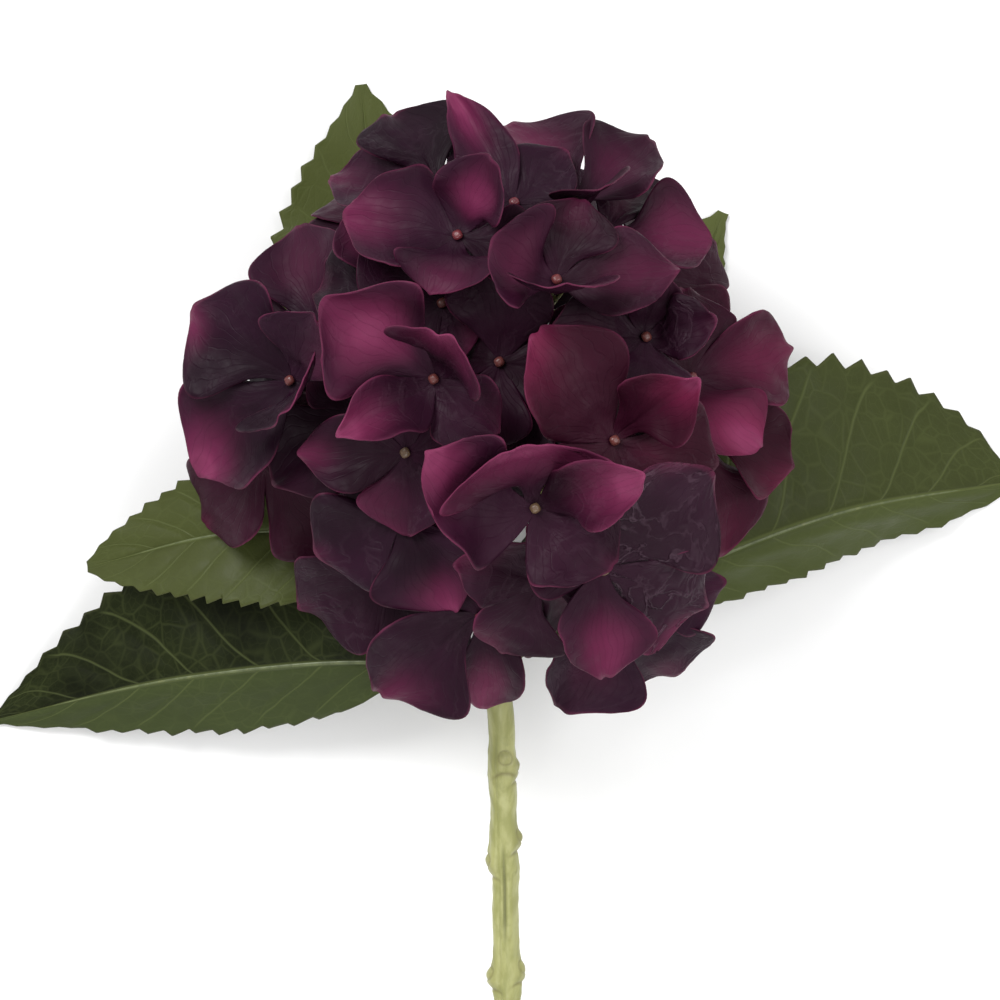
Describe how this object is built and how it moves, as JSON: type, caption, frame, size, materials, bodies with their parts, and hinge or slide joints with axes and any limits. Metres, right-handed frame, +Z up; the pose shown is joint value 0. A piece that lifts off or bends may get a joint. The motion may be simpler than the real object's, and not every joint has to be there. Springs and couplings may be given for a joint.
{
  "type": "cut hydrangea",
  "caption": "Single artificial hydrangea stem lying on its back: a full mophead of dark plum four-sepal florets on branched stalks, toothed leaves and a jointed green stem.",
  "frame": {"origin": "middle of the footprint, on the surface the flower lies on", "axes": "+Z up, the way the flower head faces; the stem runs towards -Y and its cut end is at the low Y side; +X to the right when looking down with the head away from the viewer"},
  "size_m": [0.2872, 0.3054, 0.1441],
  "materials": {
    "stem": "satin moulded plastic",
    "leaf": "printed and embossed fabric",
    "sepal": "satin fabric, shaded plum to magenta",
    "eye": "satin moulded bead"
  },
  "bodies": {
    "root": {"stem": "stem", "leaf_right": "leaf", "leaf_mid_left": "leaf", "leaf_lower_left": "leaf", "leaf_upper_left": "leaf", "leaf_upper_right": "leaf", "floret_left_outer": "sepal", "floret_left_upper": "sepal", "floret_left_bowl": "sepal", "floret_left_centre": "sepal", "floret_mid_left": "sepal", "floret_lower_left": "sepal", "floret_bottom_left": "sepal", "floret_front": "sepal", "floret_bottom_centre": "sepal", "floret_right_lower": "sepal", "floret_bottom_right": "sepal", "floret_right_mid": "sepal", "floret_right_outer": "sepal", "floret_right_centre": "sepal", "floret_right_small": "sepal", "floret_upper_right": "sepal", "floret_right_upper": "sepal", "floret_right_shoulder": "sepal", "floret_top_centre": "sepal", "floret_top_spike": "sepal", "floret_top_left": "sepal", "floret_upper_left": "sepal", "floret_left_shoulder": "sepal", "floret_left_fan": "sepal", "floret_left_lower": "sepal", "floret_middle": "sepal", "floret_inner_left": "sepal", "floret_inner_low": "sepal", "floret_inner_right": "sepal", "floret_inner_top": "sepal", "floret_back_left": "sepal", "floret_back_right": "sepal", "floret_back_top": "sepal", "floret_back_upper_left": "sepal", "floret_back_upper_right": "sepal", "floret_back_lower_left": "sepal", "floret_back_lower_right": "sepal"}
  },
  "joints": []
}
